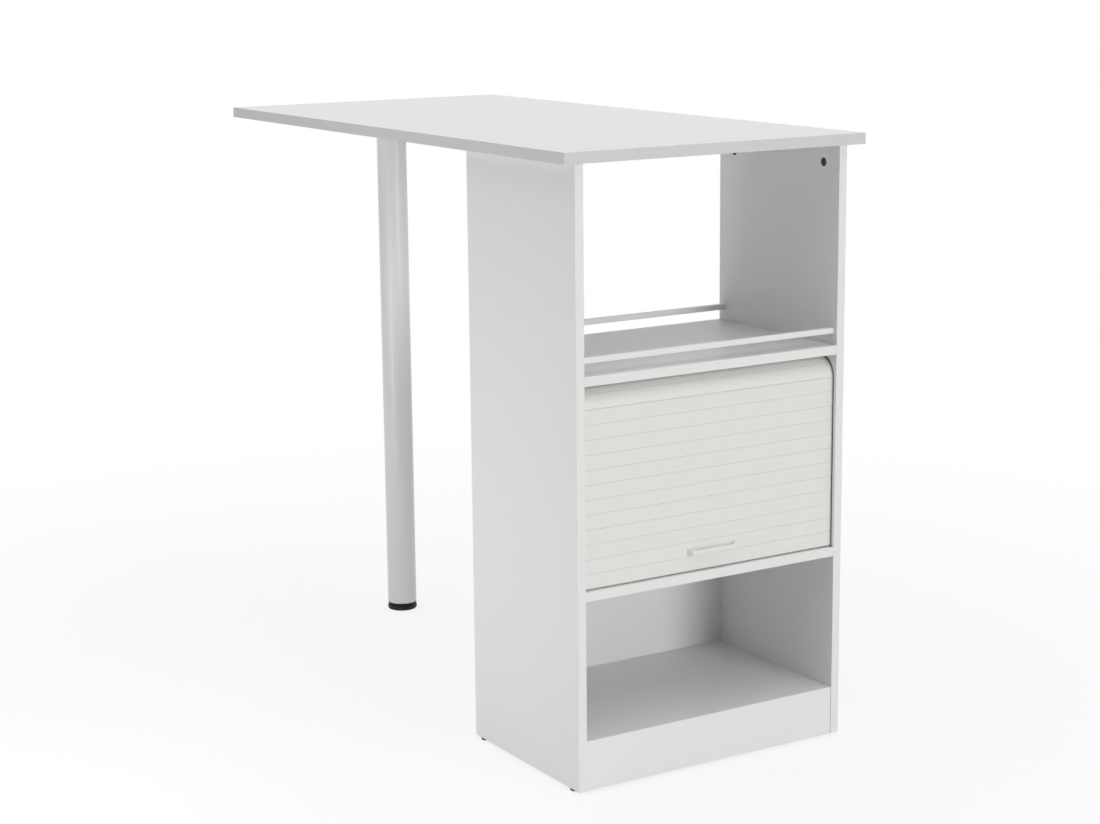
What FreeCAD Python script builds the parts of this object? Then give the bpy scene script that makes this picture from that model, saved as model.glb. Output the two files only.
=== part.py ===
"""Bar-height kitchen table: a long top carried by a storage cabinet and one round leg.

The cabinet has an open upper bay with guard rails, a bay closed by a slatted roller
shutter and an open lower bay.  X runs across the cabinet, Y from its open front to the
far end of the top, Z up.  The origin is on the floor below the middle of the top.
"""
import FreeCAD, Part
import math
import os

# Table top
TOP_LENGTH = 1246.0
TOP_WIDTH = 600.0
TOP_THICKNESS = 19.0
SIDE_OVERHANG = 28.0
FRONT_OVERHANG = 14.0

# Cabinet boards and the bays between them
CABINET_DEPTH = 341.0
BOARD_THICKNESS = 16.0
EDGE_EASE = 0.6
PLINTH_HEIGHT = 86.0
PLINTH_SETBACK = 1.5
LOWER_BAY_HEIGHT = 239.0
SHUTTER_BAY_HEIGHT = 341.0
UPPER_BAY_HEIGHT = 342.0

# Back panel, held in grooves of the side panels
BACK_THICKNESS = 4.0
BACK_INSET = 6.0
BACK_GROOVE_DEPTH = 6.0
BACK_CLEARANCE = 0.2
BACK_SCREW_LENGTH = 25.0
BACK_SCREW_RADIUS = 1.75
BACK_SCREW_HEAD_RADIUS = 3.4
BACK_SCREW_HEAD_HEIGHT = 2.0
BACK_SCREW_SHARES = (-0.35, 0.0, 0.35)

# Guard rails of the upper bay
RAIL_HEIGHT = 10.0
RAIL_DEPTH = 10.0
RAIL_EASE = 1.5
RAIL_SETBACK = 8.0
RAIL_LIFT = 19.5
RAIL_PIN_RADIUS = 2.5
RAIL_PIN_LENGTH = 24.0

# Roller shutter: slats hinged edge to edge, two of them in the bend behind the upper shelf
FRONT_SLATS = 12
BEND_SLATS = 2
SLAT_THICKNESS = 6.0
SLAT_GAP = 0.4
SLAT_LIP = 0.9
SHUTTER_SETBACK = 9.0
SHUTTER_GAP = 2.0
SHUTTER_HEADROOM = 6.7
HINGE_INSET = 1.5
BEVEL_CLEARANCE = 0.3
STOP_CLEARANCE = 0.2

# Shutter tracks, let into the side panels
TRACK_DEPTH = 8.2
TRACK_WALL = 1.8
TRACK_PLAY = 0.9
TRACK_END_PLAY = 0.5
TRACK_REAR_MARGIN = 6.0

# Shutter handle, on the second slat from the bottom
HANDLE_LENGTH = 98.0
HANDLE_HEIGHT = 12.6
HANDLE_REACH = 10.0
HANDLE_LIFT = 1.6
HANDLE_EASE = 2.5
HANDLE_END_EASE = 5.5
HANDLE_END_WALL = 6.0
HANDLE_BACK_WALL = 2.0
HANDLE_LIP_WALL = 2.0
HANDLE_LIP_DROP = 3.0
HANDLE_SCOOP_DEPTH = 7.0
HANDLE_SCREW_SPACING = 64.0
HANDLE_SCREW_RADIUS = 1.5
HANDLE_SCREW_BITE = 1.6
HANDLE_SCREW_HEAD_RADIUS = 3.0
HANDLE_SCREW_HEAD_HEIGHT = 1.6

# Cam locks and bolts, wooden dowels
CAM_RADIUS = 7.5
CAM_HEIGHT = 12.0
CAM_SETBACK = 32.0
CAM_INSET = 43.0
CAM_CLEARANCE = 0.1
CAM_SLOT_CLEARANCE = 0.3
CAM_CROSS_LENGTH = 9.0
CAM_CROSS_WIDTH = 1.8
CAM_CROSS_DEPTH = 1.6
BOLT_THREAD_RADIUS = 3.0
BOLT_THREAD_LENGTH = 11.0
BOLT_SHANK_RADIUS = 2.2
BOLT_HEAD_RADIUS = 3.2
BOLT_HEAD_LENGTH = 4.0
DOWEL_RADIUS = 4.0
DOWEL_LENGTH = 30.0
DOWEL_SEAT = 10.0
PLINTH_DOWEL_INSET = 22.0
BORE_CLEARANCE = 0.05
BORE_END_CLEARANCE = 0.5

# Round glides nailed under the side panels
GLIDE_RADIUS = 7.5
GLIDE_HEIGHT = 5.0
GLIDE_EASE = 2.5
GLIDE_FRONT_INSET = 27.0
GLIDE_REAR_INSET = 20.0
NAIL_RADIUS = 1.0
NAIL_LENGTH = 20.0
NAIL_HEAD_RADIUS = 2.2
NAIL_HEAD_HEIGHT = 1.0
NAIL_RECESS = 2.5

# Leg under the far end of the top
LEG_RADIUS = 30.0
LEG_WALL = 1.5
LEG_END_INSET = 106.0
PLATE_RADIUS = 50.0
PLATE_THICKNESS = 3.0
SOCKET_HEIGHT = 20.0
SOCKET_WALL = 3.0
SOCKET_CLEARANCE = 0.15
PLATE_SCREW_COUNT = 5
PLATE_SCREW_CIRCLE_RADIUS = 40.0
PLATE_SCREW_RADIUS = 2.2
PLATE_SCREW_LENGTH = 15.0
PLATE_SCREW_HEAD_RADIUS = 4.2
PLATE_SCREW_HEAD_HEIGHT = 2.4
LOCK_SCREW_RADIUS = 3.0
LOCK_SCREW_DROP = 10.0

# Levelling foot of the leg
INSERT_FLANGE = 2.0
INSERT_DEPTH = 24.0
INSERT_CLEARANCE = 0.1
STEM_RADIUS = 5.0
STEM_CLEARANCE = 0.06
STEM_REACH = 20.0
STEM_SEAT = 8.0
PAD_RADIUS = 30.5
PAD_HEIGHT = 9.5
PAD_EASE = 4.0
PAD_RIM_EASE = 3.0
NECK_RADIUS = 27.0
NECK_HEIGHT = 4.0
NECK_CLEARANCE = 0.3

# Length by which every cut runs past the face that it leaves
OVERRUN = 2.0

# Places that follow from the sizes above
TOP_FRONT_Y = -TOP_LENGTH / 2
TOP_REAR_Y = TOP_LENGTH / 2
FRONT_Y = TOP_FRONT_Y + FRONT_OVERHANG
REAR_Y = FRONT_Y + CABINET_DEPTH
OUTER_X = TOP_WIDTH / 2 - SIDE_OVERHANG
INNER_X = OUTER_X - BOARD_THICKNESS
PANEL_MID_X = OUTER_X - BOARD_THICKNESS / 2
PANEL_Z0 = GLIDE_HEIGHT
FLOOR_Z1 = PANEL_Z0 + PLINTH_HEIGHT
FLOOR_Z0 = FLOOR_Z1 - BOARD_THICKNESS
MIDDLE_Z0 = FLOOR_Z1 + LOWER_BAY_HEIGHT
MIDDLE_Z1 = MIDDLE_Z0 + BOARD_THICKNESS
UPPER_Z0 = MIDDLE_Z1 + SHUTTER_BAY_HEIGHT
UPPER_Z1 = UPPER_Z0 + BOARD_THICKNESS
TOP_Z0 = UPPER_Z1 + UPPER_BAY_HEIGHT
TOP_Z1 = TOP_Z0 + TOP_THICKNESS
PLINTH_Y0 = FRONT_Y + PLINTH_SETBACK
PLINTH_Y1 = PLINTH_Y0 + BOARD_THICKNESS
BACK_Y1 = REAR_Y - BACK_INSET
BACK_Y0 = BACK_Y1 - BACK_THICKNESS
SHELF_REAR_Y = BACK_Y0 - BACK_CLEARANCE

# The shutter's path: a vertical run, a bend of flat slats, a run back under the upper shelf
HALF_TURN = math.radians(90) / (2 * BEND_SLATS)
BEND_RATIO = 1 / (2 * math.sin(HALF_TURN))
SLAT_ROOM = SHUTTER_BAY_HEIGHT - SHUTTER_GAP - HINGE_INSET - SHUTTER_HEADROOM
SLAT_PITCH = SLAT_ROOM / (FRONT_SLATS + BEND_RATIO)
BEND_RADIUS = SLAT_PITCH * BEND_RATIO
SLAT_BACKING = SLAT_THICKNESS - HINGE_INSET
SLAT_BEVEL = SLAT_BACKING * math.tan(HALF_TURN) + BEVEL_CLEARANCE
SLAT_FRONT_Y = FRONT_Y + SHUTTER_SETBACK
SLAT_REAR_Y = SLAT_FRONT_Y + SLAT_THICKNESS
HINGE_Y = SLAT_FRONT_Y + HINGE_INSET
SHUTTER_Z0 = MIDDLE_Z1 + SHUTTER_GAP
BEND_Z = SHUTTER_Z0 + FRONT_SLATS * SLAT_PITCH
BEND_Y = HINGE_Y + BEND_RADIUS
SLAT_END_X = INNER_X + TRACK_DEPTH - TRACK_WALL - TRACK_END_PLAY
TRACK_END_Y = BACK_Y0 - TRACK_REAR_MARGIN

# The leg stands on the middle line of the top
LEG_Y = TOP_REAR_Y - LEG_END_INSET
LEG_BORE = LEG_RADIUS - LEG_WALL
LEG_Z1 = TOP_Z0 - PLATE_THICKNESS
NECK_Z1 = PAD_HEIGHT + NECK_HEIGHT
INSERT_Z0 = NECK_Z1 + NECK_CLEARANCE
LEG_Z0 = INSERT_Z0 + INSERT_FLANGE

X_AXIS = FreeCAD.Vector(1, 0, 0)
Y_AXIS = FreeCAD.Vector(0, 1, 0)
Z_AXIS = FreeCAD.Vector(0, 0, 1)
SIDES = {"left": -1, "right": 1}


def block(low, high):
    """Box between two corners, given in any order along each axis."""
    start = [min(a, b) for a, b in zip(low, high)]
    size = [abs(a - b) for a, b in zip(low, high)]
    return Part.makeBox(*size, FreeCAD.Vector(*start))


def board(low, high):
    """Board with its sharp edges slightly eased, as banded board has."""
    solid = block(low, high)
    return solid.makeFillet(EDGE_EASE, solid.Edges)


def rod(radius, start, axis, length):
    """Round bar from a point along an axis, backwards where the length is negative."""
    direction = axis if length > 0 else axis * -1
    return Part.makeCylinder(radius, abs(length), FreeCAD.Vector(*start), direction)


def cut(solid, tools):
    """A solid less each of the tools."""
    result = solid.cut(Part.makeCompound(tools))
    return result.Solids[0] if len(result.Solids) == 1 else result


def dowel(start, axis, length):
    """A dowel and the bore that takes it in both boards."""
    way = 1 if length > 0 else -1
    slack = BORE_END_CLEARANCE * way
    mouth = FreeCAD.Vector(*start) - axis * slack
    bore = rod(DOWEL_RADIUS + BORE_CLEARANCE, mouth, axis, length + 2 * slack)
    return rod(DOWEL_RADIUS, start, axis, length), bore


def cam_lock(face, axis, bolt_axis):
    """A cam in its pocket: its face is flush with the board and its slot faces the bolt."""
    face = FreeCAD.Vector(*face)
    body = rod(CAM_RADIUS, face, axis, CAM_HEIGHT)
    pocket = rod(CAM_RADIUS + CAM_CLEARANCE, face - axis * OVERRUN, axis, CAM_HEIGHT + OVERRUN)
    centre = face + axis * (BOARD_THICKNESS / 2)
    slot_radius = BOLT_HEAD_RADIUS + CAM_SLOT_CLEARANCE
    slot_start = centre - bolt_axis * slot_radius
    slot = rod(slot_radius, slot_start, bolt_axis, CAM_RADIUS + slot_radius + OVERRUN)
    cross = []
    across = axis.cross(bolt_axis)
    for long_axis, short_axis in ((bolt_axis, across), (across, bolt_axis)):
        corner = long_axis * (CAM_CROSS_LENGTH / 2) + short_axis * (CAM_CROSS_WIDTH / 2)
        low = face - corner - axis * OVERRUN
        high = face + corner + axis * CAM_CROSS_DEPTH
        cross.append(block(tuple(low), tuple(high)))
    return cut(body, [slot] + cross), pocket


def cam_bolt(centre, axis, edge):
    """A bolt from a cam's centre, out of the board's edge and screwed into the next board."""
    centre = FreeCAD.Vector(*centre)
    head_start = centre - axis * (BOLT_HEAD_LENGTH / 2)
    bolt = rod(BOLT_HEAD_RADIUS, head_start, axis, BOLT_HEAD_LENGTH)
    bolt = bolt.fuse(rod(BOLT_SHANK_RADIUS, centre, axis, edge))
    mouth = centre + axis * edge
    bolt = bolt.fuse(rod(BOLT_THREAD_RADIUS, mouth, axis, BOLT_THREAD_LENGTH))
    passage = rod(BOLT_HEAD_RADIUS + CAM_SLOT_CLEARANCE, centre, axis, edge)
    hole_length = BOLT_THREAD_LENGTH + BORE_END_CLEARANCE
    hole = rod(BOLT_THREAD_RADIUS + BORE_CLEARANCE, mouth, axis, hole_length)
    return bolt.removeSplitter(), [passage, hole]


def countersunk_screw(head, axis, length, radius, head_radius, head_height):
    """A screw whose flat head lies flush at a point, and the hole that it fills."""
    head = FreeCAD.Vector(*head)

    def shape(clearance, past):
        cone = Part.makeCone(head_radius + clearance, radius + clearance, head_height, head, axis)
        return cone.fuse(rod(radius + clearance, head, axis, length + past)).removeSplitter()

    return shape(0, 0), shape(BORE_CLEARANCE, BORE_END_CLEARANCE)


def track_space(grow, start_x, end_x, bottom_z):
    """The space that the slats' ends sweep, grown all round and extruded across X."""
    play = TRACK_PLAY + grow
    front_y = SLAT_FRONT_Y - play
    rear_y = SLAT_REAR_Y + play
    outer = BEND_RADIUS + HINGE_INSET + play
    inner = BEND_RADIUS - SLAT_BACKING - play
    bend_inner = BEND_RADIUS * math.cos(HALF_TURN) - SLAT_BACKING - play
    front_run = block((start_x, front_y, bottom_z), (end_x, rear_y, BEND_Z))
    rear_run = block((start_x, BEND_Y, BEND_Z + inner), (end_x, TRACK_END_Y + grow, BEND_Z + outer))
    low_x = min(start_x, end_x)
    width = abs(end_x - start_x)
    bend = rod(outer, (low_x, BEND_Y, BEND_Z), X_AXIS, width)
    bend = bend.cut(rod(bend_inner, (low_x, BEND_Y, BEND_Z), X_AXIS, width))
    bend = bend.common(block((start_x, BEND_Y - outer, BEND_Z), (end_x, BEND_Y, BEND_Z + outer)))
    return front_run.fuse([bend, rear_run]).removeSplitter()


def slat(hinge_y, hinge_z, angle, closed_foot=False):
    """One slat from its lower hinge line, leaning back by an angle.

    The edges behind the hinge line are bevelled so that neighbours can fold in the bend.
    A closed foot is the square lower edge of the bottom rail.
    """
    low = SLAT_GAP / 2
    high = SLAT_PITCH - SLAT_GAP / 2
    foot = [(HINGE_INSET, low), (0, low), (-SLAT_BACKING, low + SLAT_BEVEL)]
    if closed_foot:
        foot = [(HINGE_INSET, 0), (-SLAT_BACKING, 0)]
    head = [(-SLAT_BACKING, high - SLAT_BEVEL), (0, high), (HINGE_INSET - SLAT_LIP, high)]
    outline = foot + head + [(HINGE_INSET, high - SLAT_LIP)]
    points = []
    for out, along in outline:
        y = hinge_y + along * math.sin(angle) - out * math.cos(angle)
        z = hinge_z + along * math.cos(angle) + out * math.sin(angle)
        points.append(FreeCAD.Vector(-SLAT_END_X, y, z))
    face = Part.Face(Part.makePolygon(points + points[:1]))
    return face.extrude(X_AXIS * (2 * SLAT_END_X))


nodes = {}
bores = []

# Cam locks and bolts between the side panels and the top
top_cams = []
top_bolts = []
for side in SIDES.values():
    for cam_y in (FRONT_Y + CAM_INSET, REAR_Y - CAM_INSET):
        cam_z = TOP_Z0 - CAM_SETBACK
        cam, pocket = cam_lock((side * INNER_X, cam_y, cam_z), X_AXIS * side, Z_AXIS)
        bolt, holes = cam_bolt((side * PANEL_MID_X, cam_y, cam_z), Z_AXIS, CAM_SETBACK)
        top_cams.append(cam)
        top_bolts.append(bolt)
        bores += [pocket] + holes
nodes["top_cam_locks"] = Part.makeCompound(top_cams)
nodes["top_cam_bolts"] = Part.makeCompound(top_bolts)

# Cam locks under the shelves and the floor, with bolts into the side panels
SHELVES = {
    "upper_shelf": (FRONT_Y, REAR_Y, UPPER_Z0),
    "middle_shelf": (FRONT_Y, SHELF_REAR_Y, MIDDLE_Z0),
    "floor_panel": (PLINTH_Y1, SHELF_REAR_Y, FLOOR_Z0),
}
shelf_cams = []
shelf_bolts = []
for shelf_front, shelf_rear, shelf_z in SHELVES.values():
    for side in SIDES.values():
        for cam_y in (shelf_front + CAM_INSET, shelf_rear - CAM_INSET):
            cam_x = side * (INNER_X - CAM_SETBACK)
            cam, pocket = cam_lock((cam_x, cam_y, shelf_z), Z_AXIS, X_AXIS * side)
            middle_z = shelf_z + BOARD_THICKNESS / 2
            bolt, holes = cam_bolt((cam_x, cam_y, middle_z), X_AXIS * side, CAM_SETBACK)
            shelf_cams.append(cam)
            shelf_bolts.append(bolt)
            bores += [pocket] + holes
nodes["shelf_cam_locks"] = Part.makeCompound(shelf_cams)
nodes["shelf_cam_bolts"] = Part.makeCompound(shelf_bolts)

# Glued wooden dowels: top, shelf ends and plinth ends
dowels = []
for side in SIDES.values():
    seat_x = side * (INNER_X + DOWEL_SEAT)
    places = [((side * PANEL_MID_X, (FRONT_Y + REAR_Y) / 2, TOP_Z0 + DOWEL_SEAT), Z_AXIS, -DOWEL_LENGTH)]
    for shelf_front, shelf_rear, shelf_z in SHELVES.values():
        middle = (seat_x, (shelf_front + shelf_rear) / 2, shelf_z + BOARD_THICKNESS / 2)
        places.append((middle, X_AXIS, -side * DOWEL_LENGTH))
    for dowel_z in (PANEL_Z0 + PLINTH_DOWEL_INSET, FLOOR_Z1 - PLINTH_DOWEL_INSET):
        plinth_end = (seat_x, (PLINTH_Y0 + PLINTH_Y1) / 2, dowel_z)
        places.append((plinth_end, X_AXIS, -side * DOWEL_LENGTH))
    for start, axis, length in places:
        pin, bore = dowel(start, axis, length)
        dowels.append(pin)
        bores.append(bore)
nodes["wooden_dowels"] = Part.makeCompound(dowels)

# Guard rails across the upper bay, each on two blind pins
rail_pins = []
RAILS = {"guard_rail_front": FRONT_Y + RAIL_SETBACK, "guard_rail_rear": REAR_Y - RAIL_SETBACK - RAIL_DEPTH}
for name, rail_y in RAILS.items():
    rail_z = UPPER_Z1 + RAIL_LIFT
    rail = block((-INNER_X, rail_y, rail_z), (INNER_X, rail_y + RAIL_DEPTH, rail_z + RAIL_HEIGHT))
    long_edges = [edge for edge in rail.Edges if abs(edge.tangentAt(0).x) > 0.5]
    rail = rail.makeFillet(RAIL_EASE, long_edges)
    for side in SIDES.values():
        start_x = side * (INNER_X - RAIL_PIN_LENGTH / 2)
        centre = (start_x, rail_y + RAIL_DEPTH / 2, rail_z + RAIL_HEIGHT / 2)
        rail_pins.append(rod(RAIL_PIN_RADIUS, centre, X_AXIS, side * RAIL_PIN_LENGTH))
        slack = side * BORE_END_CLEARANCE
        bore_start = FreeCAD.Vector(*centre) - X_AXIS * slack
        bore_length = side * RAIL_PIN_LENGTH + 2 * slack
        bores.append(rod(RAIL_PIN_RADIUS + BORE_CLEARANCE, bore_start, X_AXIS, bore_length))
    nodes[name] = cut(rail, bores)
nodes["rail_pins"] = Part.makeCompound(rail_pins)

# Back panel screws, into the rear edges of the middle shelf and of the floor
back_screws = []
for shelf_z in (FLOOR_Z0, MIDDLE_Z0):
    for share in BACK_SCREW_SHARES:
        head = (share * 2 * INNER_X, BACK_Y1, shelf_z + BOARD_THICKNESS / 2)
        screw, hole = countersunk_screw(
            head, Y_AXIS * -1, BACK_SCREW_LENGTH, BACK_SCREW_RADIUS,
            BACK_SCREW_HEAD_RADIUS, BACK_SCREW_HEAD_HEIGHT)
        back_screws.append(screw)
        bores.append(hole)
nodes["back_panel_screws"] = Part.makeCompound(back_screws)

# Glides under the side panels, each held by a nail from below
glides = []
nails = []
for side in SIDES.values():
    for glide_y in (FRONT_Y + GLIDE_FRONT_INSET, REAR_Y - GLIDE_REAR_INSET):
        centre_x = side * PANEL_MID_X
        glide = rod(GLIDE_RADIUS, (centre_x, glide_y, 0), Z_AXIS, GLIDE_HEIGHT)
        foot_edges = [edge for edge in glide.Edges if edge.BoundBox.ZMax < GLIDE_HEIGHT / 2]
        glide = glide.makeFillet(GLIDE_EASE, foot_edges)
        nail_start = (centre_x, glide_y, NAIL_RECESS)
        nail = rod(NAIL_RADIUS, nail_start, Z_AXIS, NAIL_LENGTH)
        nail = nail.fuse(rod(NAIL_HEAD_RADIUS, nail_start, Z_AXIS, NAIL_HEAD_HEIGHT))
        nail_hole_length = NAIL_LENGTH + BORE_END_CLEARANCE
        nail_hole = rod(NAIL_RADIUS + BORE_CLEARANCE, nail_start, Z_AXIS, nail_hole_length)
        head_top = (centre_x, glide_y, NAIL_RECESS + NAIL_HEAD_HEIGHT)
        head_hole_length = NAIL_RECESS + NAIL_HEAD_HEIGHT + OVERRUN
        head_hole = rod(NAIL_HEAD_RADIUS + BORE_CLEARANCE, head_top, Z_AXIS, -head_hole_length)
        glides.append(cut(glide, [nail_hole, head_hole]))
        nails.append(nail.removeSplitter())
        bores.append(nail_hole)
nodes["cabinet_glides"] = Part.makeCompound(glides)
nodes["glide_nails"] = Part.makeCompound(nails)

# Leg: plate with a socket ring, tube, lock screw and the plug that takes the foot
plate = rod(PLATE_RADIUS, (0, LEG_Y, LEG_Z1), Z_AXIS, PLATE_THICKNESS)
socket_radius = LEG_BORE - SOCKET_CLEARANCE
socket = rod(socket_radius, (0, LEG_Y, LEG_Z1), Z_AXIS, -SOCKET_HEIGHT)
socket = socket.cut(rod(socket_radius - SOCKET_WALL, (0, LEG_Y, LEG_Z1), Z_AXIS, -SOCKET_HEIGHT))
plate = plate.fuse(socket).removeSplitter()
plate_screws = []
plate_holes = []
for index in range(PLATE_SCREW_COUNT):
    turn = 2 * math.pi * index / PLATE_SCREW_COUNT
    head_x = PLATE_SCREW_CIRCLE_RADIUS * math.sin(turn)
    head_y = LEG_Y + PLATE_SCREW_CIRCLE_RADIUS * math.cos(turn)
    screw, hole = countersunk_screw(
        (head_x, head_y, LEG_Z1), Z_AXIS, PLATE_SCREW_LENGTH, PLATE_SCREW_RADIUS,
        PLATE_SCREW_HEAD_RADIUS, PLATE_SCREW_HEAD_HEIGHT)
    plate_screws.append(screw)
    plate_holes.append(hole)
bores += plate_holes
lock_start = (0, LEG_Y + socket_radius - SOCKET_WALL, LEG_Z1 - LOCK_SCREW_DROP)
lock_length = LEG_RADIUS - socket_radius + SOCKET_WALL
lock_hole_length = lock_length + OVERRUN
lock_hole = rod(LOCK_SCREW_RADIUS + BORE_CLEARANCE, lock_start, Y_AXIS, lock_hole_length)
tube = rod(LEG_RADIUS, (0, LEG_Y, LEG_Z0), Z_AXIS, LEG_Z1 - LEG_Z0)
tube = tube.cut(rod(LEG_BORE, (0, LEG_Y, LEG_Z0), Z_AXIS, LEG_Z1 - LEG_Z0))
nodes["leg_plate"] = cut(plate, plate_holes + [lock_hole])
nodes["leg_plate_screws"] = Part.makeCompound(plate_screws)
nodes["leg_tube"] = cut(tube, [lock_hole])
nodes["leg_lock_screw"] = rod(LOCK_SCREW_RADIUS, lock_start, Y_AXIS, lock_length)
insert = rod(LEG_RADIUS, (0, LEG_Y, INSERT_Z0), Z_AXIS, INSERT_FLANGE)
insert = insert.fuse(rod(LEG_BORE - INSERT_CLEARANCE, (0, LEG_Y, LEG_Z0), Z_AXIS, INSERT_DEPTH))
insert_height = INSERT_FLANGE + INSERT_DEPTH
stem_bore = rod(STEM_RADIUS + STEM_CLEARANCE, (0, LEG_Y, INSERT_Z0), Z_AXIS, insert_height)
nodes["leg_insert"] = insert.removeSplitter().cut(stem_bore)

# Levelling foot: a round pad with rounded rims and a neck, moulded on a threaded stem
pad = rod(PAD_RADIUS, (0, LEG_Y, 0), Z_AXIS, PAD_HEIGHT)
for height, ease in ((0, PAD_EASE), (PAD_HEIGHT, PAD_RIM_EASE)):
    rim = [edge for edge in pad.Edges if abs(edge.CenterOfMass.z - height) < PAD_RIM_EASE / 2]
    pad = pad.makeFillet(ease, rim)
pad = pad.fuse(rod(NECK_RADIUS, (0, LEG_Y, PAD_EASE), Z_AXIS, NECK_Z1 - PAD_EASE)).removeSplitter()
stem_z0 = NECK_Z1 - STEM_SEAT
nodes["foot_pad"] = pad.cut(rod(STEM_RADIUS, (0, LEG_Y, stem_z0), Z_AXIS, STEM_SEAT))
nodes["foot_stem"] = rod(STEM_RADIUS, (0, LEG_Y, stem_z0), Z_AXIS, STEM_SEAT + STEM_REACH)

# Boards, drilled for every fitting that reaches into them
top_low = (-TOP_WIDTH / 2, TOP_FRONT_Y, TOP_Z0)
nodes["table_top"] = cut(board(top_low, (TOP_WIDTH / 2, TOP_REAR_Y, TOP_Z1)), bores)
for name, (shelf_front, shelf_rear, shelf_z) in SHELVES.items():
    low = (-INNER_X, shelf_front, shelf_z)
    high = (INNER_X, shelf_rear, shelf_z + BOARD_THICKNESS)
    nodes[name] = cut(board(low, high), bores)
plinth = board((-INNER_X, PLINTH_Y0, PANEL_Z0), (INNER_X, PLINTH_Y1, FLOOR_Z1))
nodes["plinth"] = cut(plinth, bores)
back_x = INNER_X + BACK_GROOVE_DEPTH - BACK_CLEARANCE
back = block((-back_x, BACK_Y0, PANEL_Z0), (back_x, BACK_Y1, UPPER_Z0))
nodes["back_panel"] = cut(back, back_screws)

# Side panels with the grooves for the shutter track and the back, and the tracks in them
for name, side in SIDES.items():
    inner_x = side * INNER_X
    mouth_x = inner_x - side * OVERRUN
    groove_x = inner_x + side * TRACK_DEPTH
    channel_x = groove_x - side * TRACK_WALL
    panel = board((inner_x, FRONT_Y, PANEL_Z0), (side * OUTER_X, REAR_Y, TOP_Z0))
    back_low = (mouth_x, BACK_Y0 - BACK_CLEARANCE, PANEL_Z0 - OVERRUN)
    back_high = (inner_x + side * BACK_GROOVE_DEPTH, BACK_Y1 + BACK_CLEARANCE, UPPER_Z0)
    track_groove = track_space(TRACK_WALL, mouth_x, groove_x, MIDDLE_Z1)
    nodes["side_panel_" + name] = cut(panel, bores + [track_groove, block(back_low, back_high)])
    track = track_space(TRACK_WALL, inner_x, groove_x, MIDDLE_Z1)
    channel = track_space(0, mouth_x, channel_x, SHUTTER_Z0 - STOP_CLEARANCE)
    nodes["shutter_track_" + name] = track.cut(channel)

# Shutter: bottom rail, slat with the handle, the loose slats, the bend and the tail
nodes["shutter_bottom_rail"] = slat(HINGE_Y, SHUTTER_Z0, 0, closed_foot=True)
handle_slat = slat(HINGE_Y, SHUTTER_Z0 + SLAT_PITCH, 0)
for index in range(2, FRONT_SLATS):
    nodes[f"shutter_slat_{index - 1:02d}"] = slat(HINGE_Y, SHUTTER_Z0 + index * SLAT_PITCH, 0)
hinge_y = HINGE_Y
hinge_z = BEND_Z
for index in range(BEND_SLATS):
    angle = (2 * index + 1) * HALF_TURN
    nodes[f"shutter_bend_slat_{index + 1}"] = slat(hinge_y, hinge_z, angle)
    hinge_y += SLAT_PITCH * math.sin(angle)
    hinge_z += SLAT_PITCH * math.cos(angle)
nodes["shutter_tail_slat"] = slat(hinge_y, hinge_z, math.radians(90))

# Handle: a moulded ledge with rounded ends and a finger scoop along its top, screwed on from
# behind. The lip before the scoop is lower than the end posts and the back wall.
handle_z = SHUTTER_Z0 + SLAT_PITCH + SLAT_GAP / 2 + HANDLE_LIFT
handle_front = SLAT_FRONT_Y - HANDLE_REACH
handle_low = (-HANDLE_LENGTH / 2, handle_front, handle_z)
handle = block(handle_low, (HANDLE_LENGTH / 2, SLAT_FRONT_Y, handle_z + HANDLE_HEIGHT))
outer_edges = [edge for edge in handle.Edges if edge.BoundBox.YMin < SLAT_FRONT_Y - HANDLE_EASE]
end_edges = [edge for edge in outer_edges if abs(edge.tangentAt(0).z) > 0.5]
handle = handle.makeFillet(HANDLE_END_EASE, end_edges)
outer_edges = [edge for edge in handle.Edges if edge.BoundBox.YMin < SLAT_FRONT_Y - HANDLE_EASE]
rim_edges = [edge for edge in outer_edges if edge.BoundBox.ZLength < HANDLE_EASE]
handle = handle.makeFillet(HANDLE_EASE, rim_edges)
scoop_width = HANDLE_REACH - HANDLE_BACK_WALL - HANDLE_LIP_WALL
scoop_y = handle_front + HANDLE_LIP_WALL + scoop_width / 2
scoop_x = HANDLE_LENGTH / 2 - HANDLE_END_WALL
scoop_z = handle_z + HANDLE_HEIGHT - HANDLE_SCOOP_DEPTH + scoop_width / 2
scoop = rod(scoop_width / 2, (-scoop_x, scoop_y, scoop_z), X_AXIS, 2 * scoop_x)
scoop_top = handle_z + HANDLE_HEIGHT + OVERRUN
scoop_low = (-scoop_x, scoop_y - scoop_width / 2, scoop_z)
scoop = scoop.fuse(block(scoop_low, (scoop_x, scoop_y + scoop_width / 2, scoop_top)))
crown_radius = HANDLE_LIP_WALL / 2
crown_z = handle_z + HANDLE_HEIGHT - HANDLE_LIP_DROP - crown_radius
crown = rod(crown_radius, (-scoop_x, handle_front + crown_radius, crown_z), X_AXIS, 2 * scoop_x)
lip_space = block((-scoop_x, handle_front - OVERRUN, crown_z), (scoop_x, scoop_y, scoop_top))
handle = cut(handle, [scoop.fuse(lip_space)]).fuse(crown).removeSplitter()
handle_screws = []
handle_holes = []
for side in SIDES.values():
    screw_z = handle_z + HANDLE_HEIGHT / 2
    start = (side * HANDLE_SCREW_SPACING / 2, SLAT_REAR_Y, screw_z)
    shank = SLAT_THICKNESS + HANDLE_SCREW_BITE
    head = rod(HANDLE_SCREW_HEAD_RADIUS, start, Y_AXIS, HANDLE_SCREW_HEAD_HEIGHT)
    handle_screws.append(head.fuse(rod(HANDLE_SCREW_RADIUS, start, Y_AXIS, -shank)).removeSplitter())
    handle_holes.append(rod(HANDLE_SCREW_RADIUS + BORE_CLEARANCE, start, Y_AXIS, -shank - BORE_CLEARANCE))
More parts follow.
